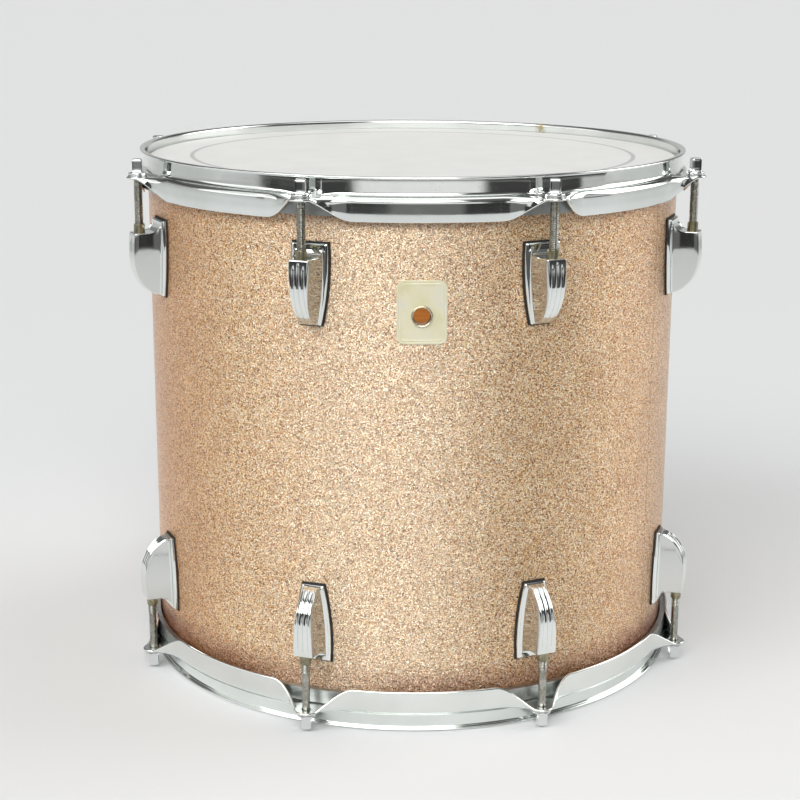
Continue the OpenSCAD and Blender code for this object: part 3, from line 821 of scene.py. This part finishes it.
def lug_mesh():
    """A lug in its own frame, bent to the shell: rings from the near end to the tip, with flat ends."""
    path, front_start = lug_side_path()
    tangent = unit(np.gradient(path, axis=0))
    normals = np.stack([tangent[:, 1], -tangent[:, 0]], -1)
    travel = np.concatenate([[0], np.cumsum(np.linalg.norm(np.diff(path, axis=0), axis=1))])
    scoop_foot, shelf_foot = SHELF_W - SCOOP_R, SHELF_W + 2.5
    feet = scoop_foot + (shelf_foot - scoop_foot) * travel / travel[front_start]
    front_w = path[front_start:, 1]
    feet[front_start:] = np.interp(front_w, [front_w[0], front_w[-1]], [shelf_foot, front_w[-1]])
    flat = np.array([1.0, 0.0])
    rings = []

    def plate_ring(w, cap):
        rings.append([(min(u, cap), y, w) for u, y, _ in lug_ring(PLATE_U, w, w, flat, (0, 0, 0))])

    for w, cap in ((0.0, PLATE_SIDE), (0.12, PLATE_SIDE + 0.15), (BEVEL, PLATE_U), (1.3, PLATE_U)):
        plate_ring(w, cap)
    for (u, w), foot, normal in zip(path, feet, normals):
        strength = [smooth((w - SHELF_W - start) / 1.2) * smooth((48.5 - w) / 3.0) * (u > PLATE_U + 1)
                    for _, start in GROOVES]
        rings.append(lug_ring(u, w, foot, normal, strength))
    for w, cap in ((LUG_H - BEVEL, PLATE_U), (LUG_H - 0.12, PLATE_SIDE + 0.15), (LUG_H, PLATE_SIDE)):
        plate_ring(w, cap)
    count = len(rings[0])
    grid = np.array(rings).reshape(-1, 3)
    u, y, w = grid.T
    hug = np.clip((FLAT_U - u) / (FLAT_U - PLATE_U), 0, 1)
    verts = np.stack([DRUM_R + u - hug * y * y / (2 * DRUM_R), y, -w], -1)
    faces = loop_faces(len(rings), count)
    faces.append(tuple(range(count)))
    faces.append(tuple(range((len(rings) - 1) * count, len(rings) * count)))
    return verts, faces


def build_lugs():
    """Sixteen lugs from one pattern, with a darker, rougher chrome on the faces that look sideways, whose
    darker tone is a painted darker reflection.
    """
    verts, faces = lug_mesh()
    bore, bore_faces = spun_stack(np.full((2, 48), 3.8), [-SHELF_W - 4.0, -SHELF_W + 6.5], 48)
    made = add_piece("lug_pattern", verts, faces, MATERIALS["lug"], None, sharp=38)
    cut_away(made, at_rod(bore), bore_faces, MATERIALS["lug"], sharp=38)
    pattern = made.data
    local = np.zeros(len(pattern.vertices) * 3)
    pattern.vertices.foreach_get("co", local)
    local = local.reshape(-1, 3) / MM
    local_faces = [tuple(p.vertices) for p in pattern.polygons]
    bpy.data.objects.remove(made)
    for end in ("upper", "lower"):
        for i, angle in enumerate(LUG_ANGLES, 1):
            name = f"{end}_lug_{i}"
            placed = from_lug(spun_to(local, angle), end)
            lug = add_piece("cast_" + name, placed, local_faces, MATERIALS["lug"], "shell_body", [name],
                            sharp=38)
            # The sideways faces get the darker chrome, which paints shade into their reflection.
            lug.data.materials.append(MATERIALS["lug_side_painted_shade"])
            out_way = Vector((math.cos(angle), math.sin(angle), 0))
            across = Vector((-math.sin(angle), math.cos(angle), 0))
            for face in lug.data.polygons:
                above_plate = face.center.dot(out_way) / MM > DRUM_R + PLATE_U + 0.6
                face.material_index = int(above_plate and abs(face.normal.dot(across)) > 0.75)


def build_nuts():
    """The round necks of the swivel nuts, which stand out of the lugs' shelves."""
    profile = rounded([[2.8, -16.0], [3.45, -16.0], [3.45, -SHELF_W + 5.5], [2.8, -SHELF_W + 5.5]],
                      [0.1, 0.1, 0.45, 0.3])
    verts, faces = at_every_rod(*turned(profile, 48))
    for end in ("upper", "lower"):
        node = end + "_swivel_nuts"
        add_piece("brass_" + node, from_lug(verts, end), faces, MATERIALS["swivel_nut"], "shell_body", [node])


# ---------- wrap, badge and vent ----------

BADGE_ANGLE = math.radians(-91)
BADGE_W = 30.0
BADGE_H = 38.6
BADGE_CORNER = 5.0
BADGE_T = 0.8
BADGE_FACE = 0.6
BADGE_Z = SHELL_LOW + 256.6
VENT_Z = BADGE_Z - 2.5
VENT_R = 5.2
SEAM_ANGLE = math.radians(-32)
SEAM_GAP = math.radians(0.14)


def build_wrap():
    """The sheet round the shell, with its butt seam and the hole for the vent."""
    columns, rows = 541, 44
    around = SEAM_ANGLE + np.linspace(0, 2 * math.pi - SEAM_GAP, columns)
    heights = np.linspace(SHELL_LOW + 3, SHELL_TOP - 3, rows)
    loop_r = np.concatenate([np.full(rows, DRUM_R), np.full(rows, PLY_R + 0.02)])
    loop_z = np.concatenate([heights, heights[::-1]])
    verts = np.stack([np.outer(np.cos(around), loop_r), np.outer(np.sin(around), loop_r),
                      np.tile(loop_z, (columns, 1))], -1).reshape(-1, 3)
    count = 2 * rows
    faces = loop_faces(columns, count)
    for start in (0, (columns - 1) * count):
        faces += [(start + k, start + k + 1, start + count - 2 - k, start + count - 1 - k)
                  for k in range(rows - 1)]
    wrap = add_piece("sparkle_wrap_sheet", verts, faces, MATERIALS["wrap"], None)
    cutter, cutter_faces = spun_stack(np.full((2, 64), VENT_R + 0.7), [PLY_R - 3, DRUM_R + 3], 64)
    cut_away(wrap, vent_frame(cutter), cutter_faces, MATERIALS["wrap"])
    place_piece(wrap, "shell_body", ["wrap"])


def vent_frame(verts):
    """Points about Z turned to lie about the vent's axis, with z as the distance from the drum's axis."""
    verts = np.asarray(verts, float)
    out = np.stack([verts[:, 2], verts[:, 0], verts[:, 1] + VENT_Z], -1)
    return spun_to(out, BADGE_ANGLE)


def badge_outline(inset):
    """The badge's outline drawn in by inset, as [y, z] points."""
    r = BADGE_CORNER - inset
    hw, hh = BADGE_W / 2 - BADGE_CORNER, BADGE_H / 2 - BADGE_CORNER
    corners = []
    for side_y, side_z, start in ((1, 1, 0), (-1, 1, 90), (-1, -1, 180), (1, -1, 270)):
        arc = np.radians(np.linspace(start, start + 90, 14))
        corners.append(np.stack([side_y * hw + r * np.cos(arc), side_z * hh + r * np.sin(arc)], -1))
    points = []
    for corner, following in zip(corners, corners[1:] + corners[:1]):
        last, first = corner[-1], following[0]
        points += [*corner, *(last + (first - last) * t for t in np.linspace(0, 1, 8)[1:-1])]
    return np.array(points)


def build_badge():
    """A plain plate bent to the shell, with a raised border, round the vent."""
    outer = badge_outline(0)
    middle = np.array([0.0, VENT_Z - BADGE_Z])
    directions = unit(outer - middle)
    hole = middle + directions * (VENT_R + 0.75)
    rings = []
    for inset, lift in ((0.0, 0.02), (0.0, 0.5), (0.12, 0.72), (0.35, BADGE_T), (1.0, BADGE_T),
                        (1.25, BADGE_FACE + 0.02), (1.9, BADGE_FACE), (2.1, BADGE_T - 0.08),
                        (2.45, BADGE_T - 0.08), (2.65, BADGE_FACE)):
        points = badge_outline(inset)
        rings.append(np.column_stack([points, np.full(len(points), lift)]))
    inner = rings[-1][:, :2]
    for t in np.linspace(0, 1, 9)[1:]:
        rings.append(np.column_stack([inner + (hole - inner) * t, np.full(len(hole), BADGE_FACE)]))
    rings.append(np.column_stack([hole, np.full(len(hole), 0.02)]))
    y, z, lift = np.array(rings).reshape(-1, 3).T
    out, turn = DRUM_R + lift, y / DRUM_R
    verts = np.stack([out * np.cos(turn), out * np.sin(turn), BADGE_Z + z], -1)
    faces = loop_faces(len(rings), len(outer), closed_rings=True)
    add_piece("plain_badge", spun_to(verts, BADGE_ANGLE), faces, MATERIALS["badge"], "shell_body", ["badge"])


def build_grommet():
    """The vent's eyelet: a rolled lip outside, a tube, and a flared end inside the shell."""
    lip = DRUM_R + BADGE_T
    lip_curve = [[5.9 + 0.72 * math.cos(a), lip + 0.10 + 0.68 * math.sin(a)]
                 for a in np.radians(np.linspace(-10, 190, 11))]
    inside = PLY_IN_R - 1.1
    outline = [[6.55, lip - 0.2], *lip_curve, [VENT_R, PLY_IN_R + 0.5], [VENT_R, inside + 0.4],
               [VENT_R + 0.3, inside], [6.5, inside], [6.6, inside + 0.5], [5.75, inside + 0.7],
               [5.75, lip - 0.2]]
    verts, faces = turned(outline, 72)
    eyelet = add_piece("vent_eyelet", vent_frame(verts), faces, MATERIALS["grommet"], "shell_body",
                       ["vent_grommet"])
    # The bore's faces get the orange-brown of painted light from inside the shell.
    eyelet.data.materials.append(MATERIALS["grommet_bore_painted_light"])
    for face in eyelet.data.polygons:
        face.material_index = int(math.hypot(face.center.x, face.center.y) / MM < DRUM_R + 0.5)


# ---------- CAD nodes that stay ----------

KEPT_NODES = {
    "shell": ["shell"],
    "reinforcement_ring": ["upper_reinforcement_ring", "lower_reinforcement_ring"],
    "control_ring": ["batter_control_ring"],
    "flesh_hoop": ["batter_flesh_hoop", "resonant_flesh_hoop"],
    "lug_spring": ["upper_lug_springs", "lower_lug_springs"],
    "gasket": ["upper_lug_gaskets", "lower_lug_gaskets"],
    "lug_screw": ["upper_lug_screws", "lower_lug_screws"],
    "washer": ["upper_screw_washers", "lower_screw_washers"],
}


def dress_kept_nodes():
    """Gives the CAD meshes that aren't replaced their materials."""
    for slot, names in KEPT_NODES.items():
        for name in names:
            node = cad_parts[name]
            node.data.materials.clear()
            node.data.materials.append(MATERIALS[slot])


# ---------- camera, floor and light ----------

CAMERA_AT = (-60.3, -1161.7, 465.8)
CAMERA_YAW = 0.045122
CAMERA_PITCH = -0.251958
CAMERA_ROLL = 0.003551
CAMERA_LENS = 76.89
SENSOR_WIDTH = 36


def build_camera():
    data = bpy.data.cameras.new("camera")
    data.lens = CAMERA_LENS
    data.sensor_width = SENSOR_WIDTH
    data.clip_start = 0.05
    data.clip_end = 200
    camera = bpy.data.objects.new("camera", data)
    bpy.context.scene.collection.objects.link(camera)
    level = math.cos(CAMERA_PITCH)
    ahead = Vector((math.sin(CAMERA_YAW) * level, math.cos(CAMERA_YAW) * level, math.sin(CAMERA_PITCH)))
    right = ahead.cross(Vector((0, 0, 1))).normalized()
    up = right.cross(ahead)
    c, s = math.cos(CAMERA_ROLL), math.sin(CAMERA_ROLL)
    x_axis, y_axis = right * c + up * s, up * c - right * s
    rotation = Matrix((x_axis, y_axis, -ahead)).transposed().to_4x4()
    camera.matrix_world = Matrix.Translation(Vector(CAMERA_AT) * MM) @ rotation
    bpy.context.scene.camera = camera


# How far the floor reaches in front of the drum, in metres, at each bearing from -Y towards +X in degrees
FLOOR_REACH = ((-66, 2.6), (-58, 2.3), (-50, 1.8), (-42, 1.62), (-36, 1.52), (-33, 1.25), (-20, 1.22),
               (-8, 1.2), (4, 1.2), (16, 1.2), (28, 1.22), (40, 1.25), (48, 1.28), (52, 1.65), (62, 2.2),
               (72, 2.5), (82, 2.6))
FLOOR_HALF = 40
FLOOR_GAP = 0.0002


def build_floor():
    """A wide pale floor, which ends in front where the photographer would stand."""
    front = [(reach * math.sin(math.radians(bearing)), -reach * math.cos(math.radians(bearing)))
             for bearing, reach in FLOOR_REACH]
    outline = [(-FLOOR_HALF, FLOOR_HALF), (-FLOOR_HALF, -16), *front,
               (FLOOR_HALF, -6), (FLOOR_HALF, FLOOR_HALF)]
    mesh = bpy.data.meshes.new("floor")
    mesh.from_pydata([(x, y, 0) for x, y in outline], [], [tuple(range(len(outline)))])
    s = Shader("floor_paper", Roughness=0.9, Specular_IOR_Level=0.1)
    x, y, _ = s.coordinates()
    widening = s.maths("MAXIMUM", s.maths("MULTIPLY", y, 0.32), 0.0)
    sideways = s.maths("SUBTRACT", s.maths("ABSOLUTE", x), widening)
    # Painted light and shade: the floor is paler just in front of the drum and darker farther in front and
    # far behind, so that it meets the plain backdrop.
    colour = s.ramp(s.remap(y, -1.6, 1.2, 0, 1), [
        (0.0, (0.59, 0.60, 0.61)), (0.21, (0.62, 0.63, 0.64)), (0.46, (0.69, 0.70, 0.71)),
        (0.60, (0.665, 0.675, 0.68)), (0.74, (0.63, 0.64, 0.645)), (1.0, (0.62, 0.63, 0.63))])
    # Painted shade: darker towards the sides, so that the floor fades into the backdrop.
    edges = s.ramp(s.remap(sideways, 0.7, 2.2, 0, 1), [(0.0, (1.0, 1.0, 1.0)), (1.0, (0.74, 0.74, 0.74))])
    mesh.materials.append(s.set(Base_Color=s.tinted(colour, edges)))
    floor = bpy.data.objects.new("floor", mesh)
    bpy.context.scene.collection.objects.link(floor)
    floor.location.z = -FLOOR_GAP


class Room:
    """The surroundings, as light that depends only on direction: a pale room with soft boxes in it."""

    def __init__(self, level):
        self.world = bpy.data.worlds.new("room")
        self.world.use_nodes = True
        self.tree = self.world.node_tree
        ray = self.tree.nodes.new("ShaderNodeTexCoord").outputs["Generated"]
        parts = self.tree.nodes.new("ShaderNodeSeparateXYZ")
        self.tree.links.new(ray, parts.inputs[0])
        self.bearing = self.maths("ARCTAN2", parts.outputs[0], self.maths("MULTIPLY", parts.outputs[1], -1.0))
        self.elevation = self.maths("ARCSINE", parts.outputs[2])
        self.light = self.maths("ADD", level, 0.0)

    def maths(self, operation, a, b=None):
        return maths_node(self.tree, "ShaderNodeMath", operation, a, b).outputs[0]

    def patch(self, bearings, elevations, softness):
        """1 between two bearings and two elevations, in degrees, and 0 outside. Bearing 0 is -Y, 90 is +X."""
        inside = None
        for angle, (low, high) in ((self.bearing, bearings), (self.elevation, elevations)):
            off = self.maths("ABSOLUTE", self.maths("SUBTRACT", angle, math.radians((low + high) / 2)))
            half, soft = math.radians((high - low) / 2), math.radians(softness)
            edge = self.tree.nodes.new("ShaderNodeMapRange")
            edge.interpolation_type = "SMOOTHSTEP"
            self.tree.links.new(off, edge.inputs["Value"])
            edge.inputs["From Min"].default_value = half - soft
            edge.inputs["From Max"].default_value = half + soft
            edge.inputs["To Min"].default_value = 1.0
            edge.inputs["To Max"].default_value = 0.0
            inside = edge.outputs[0] if inside is None else self.maths("MULTIPLY", inside, edge.outputs[0])
        return inside

    def darken(self, amount, bearings, elevations, softness=2.0):
        mask = self.maths("MULTIPLY", self.patch(bearings, elevations, softness), -amount)
        self.light = self.maths("MULTIPLY", self.light, self.maths("ADD", mask, 1.0))

    def lamp(self, strength, bearings, elevations, softness=2.0):
        lit = self.maths("MULTIPLY", self.patch(bearings, elevations, softness), strength)
        self.light = self.maths("ADD", self.light, lit)

    def finish(self, backdrop, gain):
        """Sets the room as the world, with a plain backdrop for the camera."""
        background = self.tree.nodes["Background"]
        seen = self.tree.nodes.new("ShaderNodeLightPath").outputs["Is Camera Ray"]
        room = self.maths("MULTIPLY", self.light, gain)
        room = self.maths("MULTIPLY", room, self.maths("SUBTRACT", 1.0, seen))
        self.tree.links.new(self.maths("ADD", room, self.maths("MULTIPLY", seen, backdrop)),
                            background.inputs["Strength"])
        background.inputs["Color"].default_value = (1.0, 0.998, 0.99, 1)
        bpy.context.scene.world = self.world


def build_light():
    """A dark stretch of room behind the camera, a pale ceiling, and soft boxes above the front and sides."""
    room = Room(0.48)
    room.darken(0.75, (-190, 190), (22, 95), 5.0)
    room.darken(0.55, (-162, -104), (12, 30), 4.0)
    room.darken(0.70, (128, 162), (8, 30), 4.0)
    room.darken(0.93, (-68, 84), (-50, -3))
    room.darken(0.90, (-67, 70), (-3, 25))
    room.lamp(0.75, (-26, 26), (-4, 13), 3.0)
    room.lamp(0.12, (-12, 18), (-30, -5))
    room.lamp(1.1, (-190, 190), (60, 95), 4.0)
    room.lamp(4.4, (-72, 16), (24, 50))
    room.lamp(1.8, (-16, 20), (24, 50))
    room.lamp(0.7, (-100, -64), (5, 50))
    room.lamp(2.3, (84, 124), (5, 50))
    room.finish(backdrop=0.72, gain=1.08)
    inner_light()


def inner_light():
    """Daylight that has come through the batter film, as a lamp close under it."""
    data = bpy.data.lights.new("through_film", "AREA")
    data.shape = "DISK"
    data.size = 0.30
    data.energy = 0.55
    light = bpy.data.objects.new("through_film", data)
    bpy.context.scene.collection.objects.link(light)
    light.location = (0, 0, (SHELL_TOP - 6) * MM)


build_camera()
build_hoops()
build_heads()
build_rods()
build_washers()
build_lugs()
build_nuts()
build_wrap()
build_badge()
build_grommet()
dress_kept_nodes()
build_floor()
build_light()
bpy.context.scene.view_settings.view_transform = "Standard"
